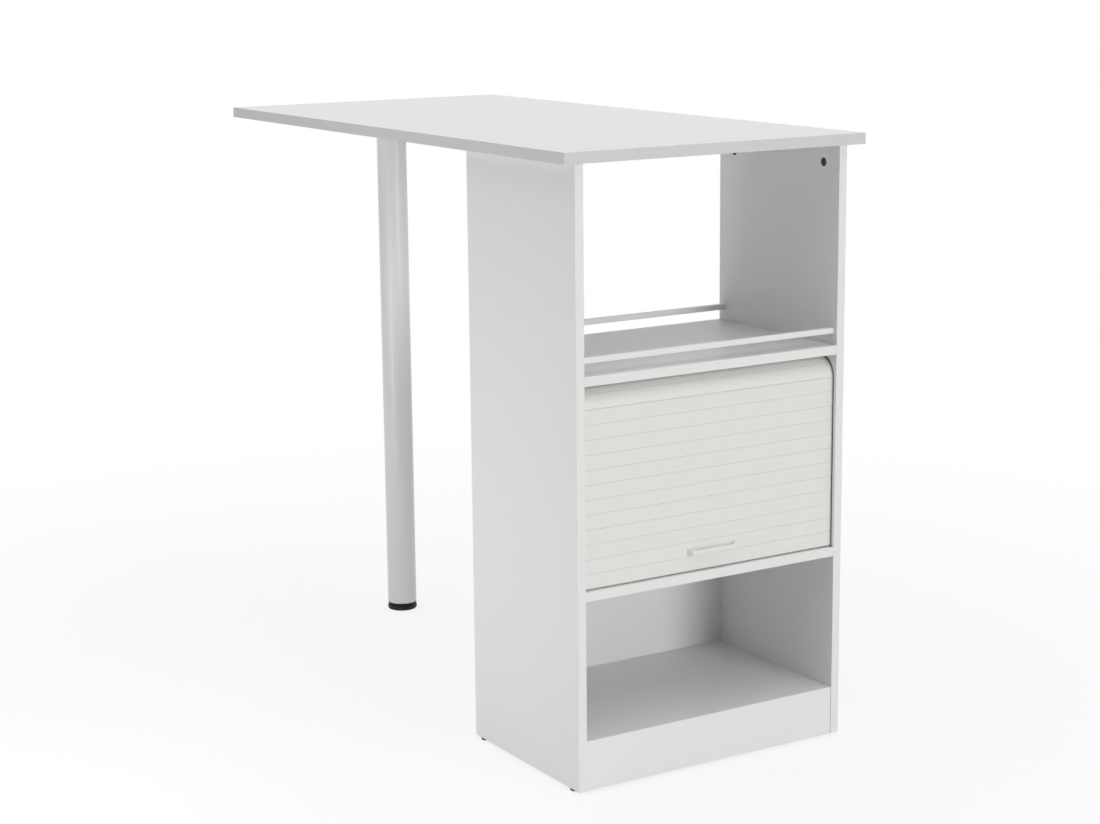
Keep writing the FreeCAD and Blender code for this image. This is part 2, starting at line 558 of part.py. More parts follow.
nodes["shutter_handle"] = cut(handle, handle_holes)
nodes["shutter_handle_slat"] = cut(handle_slat, handle_holes)
nodes["handle_screws"] = Part.makeCompound(handle_screws)

os.makedirs("parts", exist_ok=True)
for name, shape in nodes.items():
    shape.exportStep(f"parts/{name}.step")

print(f"slat pitch {SLAT_PITCH:.3f}, bend radius {BEND_RADIUS:.3f}, overall height {TOP_Z1:.1f}")
print(f"{len(nodes)} nodes, {sum(len(shape.Solids) for shape in nodes.values())} solids")
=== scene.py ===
# Bar-height kitchen table: a long white top on a storage cabinet with a slatted roller shutter,
# and on one round leg. Metres, +Z up, +Y from the cabinet's open front towards the leg.
import bpy
import bmesh
import math
from mathutils import Matrix, Vector


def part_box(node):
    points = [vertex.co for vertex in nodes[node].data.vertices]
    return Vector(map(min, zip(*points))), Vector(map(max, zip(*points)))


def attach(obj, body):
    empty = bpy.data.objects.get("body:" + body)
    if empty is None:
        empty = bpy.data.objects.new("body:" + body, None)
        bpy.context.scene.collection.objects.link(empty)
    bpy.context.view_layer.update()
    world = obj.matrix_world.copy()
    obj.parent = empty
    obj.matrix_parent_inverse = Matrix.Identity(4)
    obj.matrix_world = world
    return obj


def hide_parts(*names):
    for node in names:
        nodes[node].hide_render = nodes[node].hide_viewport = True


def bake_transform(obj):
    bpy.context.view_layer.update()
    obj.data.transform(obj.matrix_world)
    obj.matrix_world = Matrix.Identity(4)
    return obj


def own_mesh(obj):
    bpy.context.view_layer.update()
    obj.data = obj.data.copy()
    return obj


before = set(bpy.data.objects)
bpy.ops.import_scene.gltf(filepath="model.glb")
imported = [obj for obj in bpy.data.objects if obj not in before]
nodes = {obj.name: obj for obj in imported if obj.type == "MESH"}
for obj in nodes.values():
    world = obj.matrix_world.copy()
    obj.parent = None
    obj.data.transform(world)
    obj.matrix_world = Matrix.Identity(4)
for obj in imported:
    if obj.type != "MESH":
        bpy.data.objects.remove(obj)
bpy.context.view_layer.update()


# Boards of the cabinet: particle board faced with white melamine, sawn to size, its edges closed
# with a glued plastic band. Side panels, shelves, floor and plinth are drawn together by cam locks
# and dowels. The pressed facing has a fine satin grain, and the band shows as a hairline at the edge.
MM = 0.001
BAND_THICKNESS = 0.8 * MM
SEAM_WIDTH = 0.12 * MM
MELAMINE_WHITE = (0.800, 0.800, 0.796)
BAND_WHITE = (0.795, 0.795, 0.788)
SEAM_SHARE = 0.72
HOLLOW_SHARE = 0.985
FACING_GRAIN = 0.7 * MM
FACING_MOTTLE = 14 * MM
FACING_RELIEF = 0.02 * MM
FACING_ROUGHNESS = (0.40, 0.48)
GRAIN_WEIGHT = 0.12
MOTTLE_WEIGHT = 0.18
FACING_LEVEL = 0.70
FACING_TONES = (0.72, 1.0)
BAND_DROP = 0.42
BAND_TONES = (0.36, 0.52)
SEAM_DROP = 0.40
NOISE_SPREAD = (0.3, 0.7)


def new_finish(name):
    """A material's node tree with its shader, and the object coordinates that patterns read."""
    material = bpy.data.materials.new(name)
    material.use_nodes = True
    tree = material.node_tree
    shader = tree.nodes["Principled BSDF"]
    place = tree.nodes.new("ShaderNodeTexCoord").outputs["Object"]
    return material, tree, shader, place


def step(tree, kind, inputs, **settings):
    """A node with its settings, its inputs given as values or as the outputs that feed them."""
    node = tree.nodes.new(kind)
    for name, value in settings.items():
        setattr(node, name, value)
    for name, value in inputs.items():
        if isinstance(value, bpy.types.NodeSocket):
            tree.links.new(value, node.inputs[name])
        else:
            node.inputs[name].default_value = value
    return node


def calculate(tree, operation, first, second=0.0):
    """Output of a two-value sum, product or other operation."""
    return step(tree, "ShaderNodeMath", {0: first, 1: second}, operation=operation).outputs[0]


def rescale(tree, value, old_range, new_range):
    """A value carried from one range to another and held inside it."""
    sizes = {"Value": value, "From Min": old_range[0], "From Max": old_range[1],
             "To Min": new_range[0], "To Max": new_range[1]}
    return step(tree, "ShaderNodeMapRange", sizes).outputs[0]


def grain(tree, place, size, stretch=(1, 1, 1), detail=2.0):
    """Noise of a feature size, drawn out along the axes whose stretch is above 1."""
    scale = [1 / (size * factor) for factor in stretch]
    mapped = step(tree, "ShaderNodeMapping", {"Vector": place, "Scale": scale}).outputs[0]
    return step(tree, "ShaderNodeTexNoise", {"Vector": mapped, "Scale": 1.0, "Detail": detail}).outputs[0]


def weighted(tree, first, first_weight, second, second_weight):
    """Sum of two patterns, each times its weight."""
    first_part = calculate(tree, "MULTIPLY", first, first_weight)
    second_part = calculate(tree, "MULTIPLY", second, second_weight)
    return calculate(tree, "ADD", first_part, second_part)


def shades(tree, value, stops):
    """Colour ramp over (place, colour) stops."""
    ramp = step(tree, "ShaderNodeValToRGB", {"Fac": value})
    elements = ramp.color_ramp.elements
    while len(elements) < len(stops):
        elements.new(0.5)
    for element, (at, colour) in zip(elements, stops):
        element.position = at
        element.color = (*colour, 1.0)
    return ramp.outputs[0]


def dim(colour, share):
    """A colour with each part multiplied by a share."""
    return tuple(part * share for part in colour)


def colour_by(tree, shader, pattern, dark, pale, spread=NOISE_SPREAD):
    """Colours a finish from dark to pale over the spread of a pattern."""
    stops = list(zip(spread, (dark, pale)))
    tree.links.new(shades(tree, pattern, stops), shader.inputs["Base Color"])


def roughen_by(tree, shader, pattern, roughness):
    """Takes the roughness from its lower to its higher value over the spread of a pattern."""
    tree.links.new(rescale(tree, pattern, NOISE_SPREAD, roughness), shader.inputs["Roughness"])


def emboss(tree, shader, height, depth, strength):
    """Bump from a height of 0 to 1 that stands for a depth in metres."""
    bump = step(tree, "ShaderNodeBump", {"Height": height, "Distance": depth, "Strength": strength})
    tree.links.new(bump.outputs[0], shader.inputs["Normal"])


def edge_distance(tree, place, low, high, thin_axis):
    """Distance from the nearest banded edge, measured across a board's two broad directions."""
    parts = step(tree, "ShaderNodeSeparateXYZ", {"Vector": place}).outputs
    distances = []
    for axis in range(3):
        if axis == thin_axis:
            continue
        middle = (low[axis] + high[axis]) / 2
        half = (high[axis] - low[axis]) / 2
        offset = calculate(tree, "ABSOLUTE", calculate(tree, "SUBTRACT", parts[axis], middle))
        distances.append(calculate(tree, "SUBTRACT", half, offset))
    return calculate(tree, "MINIMUM", *distances)


def melamine(name, low, high, band=BAND_WHITE):
    """White facing and edge band of one board, from the corners of its box.

    One tone gives the colour: it is highest on the facing, lower on the band, lowest in the seam.
    """
    material, tree, shader, place = new_finish(name)
    thin_axis = min(range(3), key=lambda axis: high[axis] - low[axis])
    inwards = edge_distance(tree, place, low, high, thin_axis)
    in_band = rescale(tree, inwards, (BAND_THICKNESS + SEAM_WIDTH / 2, BAND_THICKNESS), (0, 1))
    from_seam = calculate(tree, "ABSOLUTE", calculate(tree, "SUBTRACT", inwards, BAND_THICKNESS))
    in_seam = rescale(tree, from_seam, (SEAM_WIDTH / 2, SEAM_WIDTH), (1, 0))
    fine = grain(tree, place, FACING_GRAIN)
    mottle = grain(tree, place, FACING_MOTTLE)
    tone = calculate(tree, "ADD", weighted(tree, fine, GRAIN_WEIGHT, mottle, MOTTLE_WEIGHT), FACING_LEVEL)
    tone = calculate(tree, "SUBTRACT", tone, calculate(tree, "MULTIPLY", in_band, BAND_DROP))
    tone = calculate(tree, "SUBTRACT", tone, calculate(tree, "MULTIPLY", in_seam, SEAM_DROP))
    stops = [(0.0, dim(band, SEAM_SHARE))]
    stops += zip(BAND_TONES, (dim(band, HOLLOW_SHARE), band))
    stops += zip(FACING_TONES, (dim(MELAMINE_WHITE, HOLLOW_SHARE), MELAMINE_WHITE))
    tree.links.new(shades(tree, tone, stops), shader.inputs["Base Color"])
    roughen_by(tree, shader, mottle, FACING_ROUGHNESS)
    emboss(tree, shader, fine, FACING_RELIEF, strength=0.35)
    return material


def paint(node, material):
    """Gives a node of the frame its finish."""
    for slot in nodes[node].material_slots:
        slot.material = material


cabinet_boards = ["side_panel_left", "side_panel_right", "floor_panel",
                  "middle_shelf", "upper_shelf", "plinth"]
for board in cabinet_boards:
    paint(board, melamine(board + "_facing", *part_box(board)))


# Wooden dowels: turned beech pins, glued half into a board's edge and half into the next board.
# They hold the boards in line while the cam locks pull them tight, and are hidden afterwards.
DOWEL_PALE = (0.62, 0.47, 0.30)
DOWEL_DARK = (0.50, 0.35, 0.20)
DOWEL_ROUGHNESS = (0.65, 0.8)
FIBRE_SIZE = 0.9 * MM
FIBRE_STRETCH = (12, 1, 1)
FIBRE_RELIEF = 0.05 * MM
dowel_beech, tree, shader, place = new_finish("dowel_beech")
fibre = grain(tree, place, FIBRE_SIZE, FIBRE_STRETCH, detail=4.0)
colour_by(tree, shader, fibre, DOWEL_DARK, DOWEL_PALE)
roughen_by(tree, shader, fibre, DOWEL_ROUGHNESS)
emboss(tree, shader, fibre, FIBRE_RELIEF, strength=0.5)
paint("wooden_dowels", dowel_beech)


# Cam locks and bolts: die-cast discs with a cross slot, sunk flush into the boards, that turn to
# grip the heads of steel bolts. The cams inside the upper bay stay in view as dark discs.
CAM_GREY = (0.052, 0.052, 0.054)
CAM_DARK = dim(CAM_GREY, 0.75)
CAM_PALE = dim(CAM_GREY, 1.3)
CAM_ROUGHNESS = (0.42, 0.58)
CAM_METALLIC = 0.55
CAST_GRAIN = 0.5 * MM
CAST_RELIEF = 0.04 * MM
cam_metal, tree, shader, place = new_finish("cam_metal")
cast = grain(tree, place, CAST_GRAIN, detail=3.0)
colour_by(tree, shader, cast, CAM_DARK, CAM_PALE)
roughen_by(tree, shader, cast, CAM_ROUGHNESS)
shader.inputs["Metallic"].default_value = CAM_METALLIC
emboss(tree, shader, cast, CAST_RELIEF, strength=0.5)
for node in ("top_cam_locks", "shelf_cam_locks"):
    paint(node, cam_metal)

ZINC_GREY = (0.58, 0.59, 0.60)
ZINC_DULL = dim(ZINC_GREY, 0.86)
ZINC_ROUGHNESS = (0.26, 0.40)
ZINC_CLOUD = 4 * MM
zinc_plate, tree, shader, place = new_finish("zinc_plate")
cloud = grain(tree, place, ZINC_CLOUD, detail=3.0)
colour_by(tree, shader, cloud, ZINC_DULL, ZINC_GREY)
roughen_by(tree, shader, cloud, ZINC_ROUGHNESS)
shader.inputs["Metallic"].default_value = 1.0
for node in ("top_cam_bolts", "shelf_cam_bolts", "rail_pins", "glide_nails", "foot_stem", "leg_lock_screw"):
    paint(node, zinc_plate)


# Shutter tracks: dark extruded plastic channels, pressed into grooves that are routed in the side
# panels. Each runs up the front, round a bend below the upper shelf and back under it.
TRACK_GREY = (0.030, 0.030, 0.032)
TRACK_DARK = dim(TRACK_GREY, 0.8)
TRACK_PALE = dim(TRACK_GREY, 1.25)
TRACK_ROUGHNESS = (0.42, 0.56)
TRACK_GRAIN = 0.6 * MM
TRACK_STRETCH = (1, 14, 14)
track_plastic, tree, shader, place = new_finish("track_plastic")
drawn = grain(tree, place, TRACK_GRAIN, TRACK_STRETCH)
colour_by(tree, shader, drawn, TRACK_DARK, TRACK_PALE)
roughen_by(tree, shader, drawn, TRACK_ROUGHNESS)
for node in ("shutter_track_left", "shutter_track_right"):
    paint(node, track_plastic)


# Shutter slats: warm white extruded plastic strips, hinged edge to edge, whose ends run in the
# tracks. Each has a faintly crowned face and a rounded lip, with a tongue behind the next slat's
# foot. The two in the bend bow to the curve of the tracks.
SLAT_CROWN = 0.10 * MM
LIP_RADIUS = 0.30 * MM
FOOT_RADIUS = 0.20 * MM
JOINT_HALF_WIDTH = 0.15 * MM
JOINT_DEPTH = 1.10 * MM
TONGUE_CLEARANCE = 0.03 * MM
BEVEL_CLEARANCE = 0.3 * MM
HINGE_INSET = 1.5 * MM
LIP_STEPS = 4
CROWN_STEPS = 10
SHARP_ANGLE = math.radians(35)
LOOSE_SLATS = 10
BEND_SLATS = 2
slat_low, slat_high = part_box("shutter_slat_01")
next_low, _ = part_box("shutter_slat_02")
SLAT_PITCH = next_low.z - slat_low.z
SLAT_GAP = SLAT_PITCH - (slat_high.z - slat_low.z)
SLAT_THICKNESS = slat_high.y - slat_low.y
SLAT_BACKING = SLAT_THICKNESS - HINGE_INSET
HALF_TURN = math.radians(90) / (2 * BEND_SLATS)
SLAT_BEVEL = SLAT_BACKING * math.tan(HALF_TURN) + BEVEL_CLEARANCE
HINGE_Y = slat_low.y + HINGE_INSET
BEND_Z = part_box("shutter_slat_10")[1].z + SLAT_GAP / 2
BEND_FACE_RADIUS = SLAT_PITCH / (2 * math.sin(HALF_TURN)) + HINGE_INSET
BEND_CROWN = BEND_FACE_RADIUS - math.sqrt(BEND_FACE_RADIUS ** 2 - (SLAT_PITCH / 2) ** 2)

SHUTTER_WHITE = (0.785, 0.770, 0.745)
SHUTTER_SHADE = dim(SHUTTER_WHITE, 0.975)
SHUTTER_ROUGHNESS = (0.36, 0.46)
SLAT_GRAIN = 0.35 * MM
SLAT_STRETCH = (90, 1, 1)
SLAT_CLOUD = 60 * MM
SLAT_GRAIN_WEIGHT = 0.6
SLAT_CLOUD_WEIGHT = 0.4
SLAT_RELIEF = 0.012 * MM
shutter_plastic, tree, shader, place = new_finish("shutter_plastic")
drawn = grain(tree, place, SLAT_GRAIN, SLAT_STRETCH, detail=3.0)
cloud = grain(tree, place, SLAT_CLOUD)
tone = weighted(tree, drawn, SLAT_GRAIN_WEIGHT, cloud, SLAT_CLOUD_WEIGHT)
colour_by(tree, shader, tone, SHUTTER_SHADE, SHUTTER_WHITE)
roughen_by(tree, shader, drawn, SHUTTER_ROUGHNESS)
emboss(tree, shader, drawn, SLAT_RELIEF, strength=0.5)


def arc(centre, radius, start, end, steps):
    """Points of an arc, by angle in degrees."""
    turns = [math.radians(start + (end - start) * index / steps) for index in range(steps + 1)]
    return [(centre[0] + radius * math.cos(turn), centre[1] + radius * math.sin(turn)) for turn in turns]


def slat_outline(square_foot=False, crown=SLAT_CROWN):
    """Section of a slat as (out of the face, up the slat) points, from its lower hinge line.

    The face is a flat parabola that stands out by the crown at the slat's middle.
    """
    low = 0 if square_foot else JOINT_HALF_WIDTH
    high = SLAT_PITCH - JOINT_HALF_WIDTH
    edge = HINGE_INSET - SLAT_CROWN
    face_low = low + FOOT_RADIUS
    face_high = high - LIP_RADIUS
    outline = arc((edge - FOOT_RADIUS, face_low), FOOT_RADIUS, -90, 0, LIP_STEPS)
    for index in range(1, CROWN_STEPS):
        share = index / CROWN_STEPS
        bulge = crown * 4 * share * (1 - share)
        outline.append((edge + bulge, face_low + (face_high - face_low) * share))
    outline += arc((edge - LIP_RADIUS, face_high), LIP_RADIUS, 0, 90, LIP_STEPS)
    tongue = SLAT_PITCH + JOINT_HALF_WIDTH - TONGUE_CLEARANCE
    joint_bed = HINGE_INSET - JOINT_DEPTH
    outline += [(joint_bed, high), (joint_bed, tongue), (0, tongue), (0, high)]
    outline.append((-SLAT_BACKING, high - SLAT_BEVEL))
    if square_foot:
        outline.append((-SLAT_BACKING, 0))
    else:
        outline += [(-SLAT_BACKING, low + SLAT_BEVEL), (0, low)]
    return outline


def new_piece(name, mesh_tool, finish):
    """An object at the origin from finished mesh data, smooth but for its sharp edges."""
    bmesh.ops.recalc_face_normals(mesh_tool, faces=mesh_tool.faces)
    mesh = bpy.data.meshes.new(name)
    mesh_tool.to_mesh(mesh)
    mesh_tool.free()
    mesh.materials.append(finish)
    for polygon in mesh.polygons:
        polygon.use_smooth = True
    mesh.set_sharp_from_angle(angle=SHARP_ANGLE)
    piece = bpy.data.objects.new(name, mesh)
    bpy.context.scene.collection.objects.link(piece)
    return piece


def extruded(mesh_tool, outline, place):
    """Closed bar along X between the slats' ends; place turns a section point into (y, z)."""
    rings = []
    for end_x in (slat_low.x, slat_high.x):
        rings.append([mesh_tool.verts.new((end_x, *place(*point))) for point in outline])
    count = len(outline)
    for index in range(count):
        after = (index + 1) % count
        mesh_tool.faces.new((rings[0][index], rings[0][after], rings[1][after], rings[1][index]))
    mesh_tool.faces.new(rings[0])
    mesh_tool.faces.new(rings[1])


def slat_place(hinge_y, hinge_z, angle):
    """Carries a section point to a slat that leans back by an angle from its hinge line."""
    def place(out, along):
        y = hinge_y + along * math.sin(angle) - out * math.cos(angle)
        z = hinge_z + along * math.cos(angle) + out * math.sin(angle)
        return y, z
    return place


def single_slat(name, hinge_y, hinge_z, angle=0.0, square_foot=False, crown=SLAT_CROWN):
    """One slat as a piece of its own."""
    mesh_tool = bmesh.new()
    extruded(mesh_tool, slat_outline(square_foot, crown), slat_place(hinge_y, hinge_z, angle))
    return new_piece(name, mesh_tool, shutter_plastic)


def repeated(piece, finish, point_kind, sizes, centre=(0, 0, 0), turn=(0, 0, 0), **settings):
    """Turns a piece into copies of itself at the points of a line, circle or grid, as one mesh.

    The tree has an input for the piece, for its finish, for the centre and turn of the points, and
    for each of the point node's sizes.
    """
    tree = bpy.data.node_groups.new(piece.name + "_pattern", "GeometryNodeTree")
    sockets = {"Piece": "NodeSocketGeometry", "Finish": "NodeSocketMaterial",
               "Centre": "NodeSocketVector", "Turn": "NodeSocketRotation"}
    kinds = {int: "NodeSocketInt", float: "NodeSocketFloat", tuple: "NodeSocketVector"}
    sockets.update({name: kinds[type(value)] for name, value in sizes.items()})
    made = {}
    for name, kind in sockets.items():
        made[name] = tree.interface.new_socket(name, in_out="INPUT", socket_type=kind)
    tree.interface.new_socket("Copies", in_out="OUTPUT", socket_type="NodeSocketGeometry")
    given = tree.nodes.new("NodeGroupInput").outputs
    points = step(tree, point_kind, {name: given[name] for name in sizes}, **settings).outputs[0]
    move = {"Geometry": points, "Translation": given["Centre"], "Rotation": given["Turn"]}
    laid = step(tree, "GeometryNodeTransform", move).outputs[0]
    place_copies = {"Points": laid, "Instance": given["Piece"]}
    copies = step(tree, "GeometryNodeInstanceOnPoints", place_copies).outputs[0]
    plain = step(tree, "GeometryNodeRealizeInstances", {"Geometry": copies}).outputs[0]
    dress = {"Geometry": plain, "Material": given["Finish"]}
    dressed = step(tree, "GeometryNodeSetMaterial", dress).outputs[0]
    tree.links.new(dressed, tree.nodes.new("NodeGroupOutput").inputs[0])
    modifier = piece.modifiers.new("pattern", "NODES")
    modifier.node_group = tree
    values = {"Finish": finish, "Centre": centre, "Turn": turn, **sizes}
    for name, value in values.items():
        modifier[made[name].identifier] = value
    evaluated = piece.evaluated_get(bpy.context.evaluated_depsgraph_get())
    mesh = bpy.data.meshes.new_from_object(evaluated)
    piece.modifiers.clear()
    piece.data = mesh
    return piece


loose_slats = single_slat("shutter_loose_slats", HINGE_Y, slat_low.z - SLAT_GAP / 2)
loose_names = [f"shutter_slat_{number:02d}" for number in range(1, LOOSE_SLATS + 1)]
slat_row = {"Count": LOOSE_SLATS, "Offset": (0.0, 0.0, SLAT_PITCH)}
repeated(loose_slats, shutter_plastic, "GeometryNodeMeshLine", slat_row, mode="OFFSET")
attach(loose_slats, "cabinet")
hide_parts(*loose_names)
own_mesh(loose_slats)

bend_hinge_y = HINGE_Y
bend_hinge_z = BEND_Z
for index in range(BEND_SLATS):
    lean = (2 * index + 1) * HALF_TURN
    bend_name = f"shutter_slat_in_bend_{index + 1}"
    bend_slat = single_slat(bend_name, bend_hinge_y, bend_hinge_z, lean, crown=BEND_CROWN)
    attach(bend_slat, "cabinet")
    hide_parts(f"shutter_bend_slat_{index + 1}")
    bend_hinge_y += SLAT_PITCH * math.sin(lean)
    bend_hinge_z += SLAT_PITCH * math.cos(lean)

tail_slat = single_slat("shutter_last_slat", bend_hinge_y, bend_hinge_z, math.radians(90))
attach(tail_slat, "shutter_tail")
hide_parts("shutter_tail_slat")

rail_foot_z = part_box("shutter_bottom_rail")[0].z
bottom_rail = single_slat("shutter_foot_rail", HINGE_Y, rail_foot_z, square_foot=True)
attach(bottom_rail, "shutter")
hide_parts("shutter_bottom_rail")

pull_hinge_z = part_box("shutter_handle_slat")[0].z - SLAT_GAP / 2
pull_slat = single_slat("shutter_pull_slat", HINGE_Y, pull_hinge_z)
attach(pull_slat, "shutter")
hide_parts("shutter_handle_slat")


# Stored slats: the loose slats where they lie when the shutter is up, flat under the upper shelf.
# With the shutter down they are all in front, so this run is folded to a sliver in the joint
# before the last slat.
FOLDED_DEPTH = 0.3 * MM
HINGE_WEB = 0.4 * MM
# Stations along one slat as (distance from its first hinge line, top, bottom).
slat_stations = [
    (0, HINGE_WEB, -HINGE_WEB),
    (SLAT_GAP / 2, HINGE_INSET, -HINGE_WEB),
    (SLAT_GAP / 2 + SLAT_BEVEL, HINGE_INSET, -SLAT_BACKING),
    (SLAT_PITCH - SLAT_GAP / 2 - SLAT_BEVEL, HINGE_INSET, -SLAT_BACKING),
    (SLAT_PITCH - SLAT_GAP / 2 - LIP_RADIUS, HINGE_INSET, -SLAT_BACKING / 2),
    (SLAT_PITCH - SLAT_GAP / 2, HINGE_INSET - LIP_RADIUS, -HINGE_WEB),
]
stored_length = LOOSE_SLATS * SLAT_PITCH
folded_start = bend_hinge_y - FOLDED_DEPTH / 2
sections = []
for index in range(LOOSE_SLATS):
    sections += [(index * SLAT_PITCH + along, top, bottom) for along, top, bottom in slat_stations]
sections.append((stored_length, HINGE_WEB, -HINGE_WEB))


def folded_share(drawn_share):
    """Place in the folded run that draws out to a share of the full run.

    It is the inverse of the smooth step x * x * (3 - 2 * x).
    """
    return 0.5 - math.sin(math.asin(1 - 2 * drawn_share) / 3)


mesh_tool = bmesh.new()
rings = []
for along, top, bottom in sections:
    y = folded_start + FOLDED_DEPTH * folded_share(along / stored_length)
    corners = [(slat_low.x, top), (slat_high.x, top), (slat_high.x, bottom), (slat_low.x, bottom)]
    rings.append([mesh_tool.verts.new((x, y, bend_hinge_z + height)) for x, height in corners])
for ring, after in zip(rings, rings[1:]):
    for index in range(len(ring)):
        mesh_tool.faces.new((ring[index], ring[index - 1], after[index - 1], after[index]))
mesh_tool.faces.new(rings[0])
mesh_tool.faces.new(rings[-1])
stored_slats = new_piece("shutter_stored_slats", mesh_tool, shutter_plastic)
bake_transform(stored_slats)


# Handle: one moulded ledge of the same plastic with rounded ends. A finger scoop runs along its top
# between two end posts, behind a lip that is lower than its back wall. Two screws from behind hold
# it on the second slat.
HANDLE_EASE = 2.5 * MM
HANDLE_LIP_WALL = 2.0 * MM
HANDLE_LIP_DROP = 3.0 * MM
HANDLE_RIM = 1.0 * MM
HANDLE_RIM_REACH = 2.4 * MM
HANDLE_RIM_SLOPE = 0.6 * MM
HANDLE_END_LENGTH = 8.0 * MM
HANDLE_POST = 3.0 * MM
POST_SLOPE = 10.0 * MM
SCOOP_DEPTH = 7.0 * MM
SCOOP_BACK_WALL = 0.8 * MM
SCOOP_STEPS = 6
END_STEPS = 20
END_CLOSENESS = 1.5
handle_low, handle_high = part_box("shutter_handle")
handle_reach = handle_high.y - handle_low.y
handle_height = handle_high.z - handle_low.z


def scoop_outline(reach, crown):
    """The scoop from the top of its lip over the bed to the rim of its back wall, as (out, up) points."""
    lip_foot = handle_height - HANDLE_LIP_DROP - crown
    rim_foot = handle_height - HANDLE_RIM - HANDLE_RIM_SLOPE
    bed = handle_height - SCOOP_DEPTH
    front = reach - 2 * crown
    middle = (front + SCOOP_BACK_WALL) / 2
    quarter = [math.radians(90 * index / SCOOP_STEPS) for index in range(1, SCOOP_STEPS + 1)]
    outline = arc((reach - crown, lip_foot), crown, 90, 180, LIP_STEPS)[1:]
    for turn in quarter:
        out = middle + (front - middle) * math.cos(turn)
        outline.append((out, lip_foot - (lip_foot - bed) * math.sin(turn)))
    for turn in quarter:
        out = middle - (middle - SCOOP_BACK_WALL) * math.sin(turn)
        outline.append((out, rim_foot - (rim_foot - bed) * math.cos(turn)))
    rim_centre = (HANDLE_RIM_REACH - HANDLE_RIM / 2, handle_height - HANDLE_RIM / 2)
    return outline + arc(rim_centre, HANDLE_RIM / 2, -90, 90, LIP_STEPS)


def handle_section(reach, scoop_share):
    """Section of the handle as (out of the slat, up) points, from a plain top to a full scoop."""
    ease = min(HANDLE_EASE, reach / 2)
    crown = min(HANDLE_LIP_WALL / 2, reach / 4)
    lip_top = handle_height - HANDLE_LIP_DROP * scoop_share
    outline = [(0, 0)]
    outline += arc((reach - ease, ease), ease, -90, 0, LIP_STEPS)
    outline += arc((reach - crown, lip_top - crown), crown, 0, 90, LIP_STEPS)
    scoop = scoop_outline(reach, crown)
    for index, (out, up) in enumerate(scoop):
        plain_out = (reach - crown) * (1 - (index + 1) / (len(scoop) + 1))
        shaped_out = plain_out + (out - plain_out) * scoop_share
        outline.append((shaped_out, handle_height + (up - handle_height) * scoop_share))
    outline.append((0, handle_height))
    return outline


def eased(share):
    """0 to 1 with a level start and end."""
    share = min(max(share, 0), 1)
    return share * share * (3 - 2 * share)


scoop_start = HANDLE_POST + POST_SLOPE
stations = [scoop_start * (index / END_STEPS) ** END_CLOSENESS for index in range(1, END_STEPS + 1)]
mesh_tool = bmesh.new()
rings = []
for side, order in ((-1, stations), (1, stations[::-1])):
    for inwards in order:
        rounding = math.sin(math.radians(90) * min(inwards / HANDLE_END_LENGTH, 1))
        outline = handle_section(handle_reach * rounding, eased((inwards - HANDLE_POST) / POST_SLOPE))
        x = side * (handle_high.x - inwards)
        places = [(x, handle_high.y - out, handle_low.z + up) for out, up in outline]
        rings.append([mesh_tool.verts.new(place) for place in places])
for ring, after in zip(rings, rings[1:]):
    for index in range(len(ring)):
        mesh_tool.faces.new((ring[index], ring[index - 1], after[index - 1], after[index]))
mesh_tool.faces.new(rings[0])
mesh_tool.faces.new(rings[-1])
handle = new_piece("shutter_pull", mesh_tool, shutter_plastic)
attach(handle, "shutter")
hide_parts("shutter_handle")


# Screws of the handle: zinc-plated steel with a low round head and a cross recess, driven from
# behind through the slat. The back panel and the leg's plate have countersunk screws of this make.
RECESS_LENGTH_SHARE = 0.62
RECESS_WIDTH_SHARE = 0.15
RECESS_DEPTH_SHARE = 0.35
RECESS_TAPER = 0.55
DOME_TOP_SHARE = 0.8
SCREW_SEGMENTS = 32
HANDLE_SCREWS = 2
HANDLE_SCREW_HEAD_RADIUS = 3.0 * MM
HANDLE_SCREW_HEAD_RIM = 0.2 * MM
HANDLE_SCREW_DOME = 1.6 * MM
HANDLE_SCREW_RADIUS = 1.5 * MM
HANDLE_SCREW_LENGTH = 7.6 * MM


def cross_screw(name, head_radius, shank_radius, head_height, length, dome=0.0):
    """A screw along -Z with its head's rim at the origin and a tapered cross recess in its top."""
    mesh_tool = bmesh.new()
    turns = [2 * math.pi * index / SCREW_SEGMENTS for index in range(SCREW_SEGMENTS)]

    def ring(radius, z):
        places = [(radius * math.cos(turn), radius * math.sin(turn), z) for turn in turns]
        return [mesh_tool.verts.new(place) for place in places]

    def skin(first, second):
        for index in range(len(first)):
            mesh_tool.faces.new((first[index], first[index - 1], second[index - 1], second[index]))

    reach = head_radius * RECESS_LENGTH_SHARE
    half = head_radius * RECESS_WIDTH_SHARE
    plus = [(reach, -half), (reach, half), (half, half), (half, reach), (-half, reach), (-half, half)]
    plus += [(-x, -y) for x, y in plus]
    rim = ring(head_radius, 0)
    top = ring(head_radius * DOME_TOP_SHARE, dome) if dome else rim
    if dome:
        skin(rim, top)
    mouth = [mesh_tool.verts.new((x, y, dome)) for x, y in plus]
    depth = dome - head_radius * RECESS_DEPTH_SHARE
    bed = [mesh_tool.verts.new((x * RECESS_TAPER, y * RECESS_TAPER, depth)) for x, y in plus]
    edges = []
    for loop in (top, mouth):
        for index in range(len(loop)):
            pair = (loop[index - 1], loop[index])
            edges.append(mesh_tool.edges.get(pair) or mesh_tool.edges.new(pair))
    bmesh.ops.triangle_fill(mesh_tool, use_beauty=True, use_dissolve=False, edges=edges)
    skin(mouth, bed)
    mesh_tool.faces.new(bed)
    neck = ring(shank_radius, -head_height)
    tip = ring(shank_radius, -length)
    skin(rim, neck)
    skin(neck, tip)
    mesh_tool.faces.new(tip)
    return new_piece(name, mesh_tool, zinc_plate)


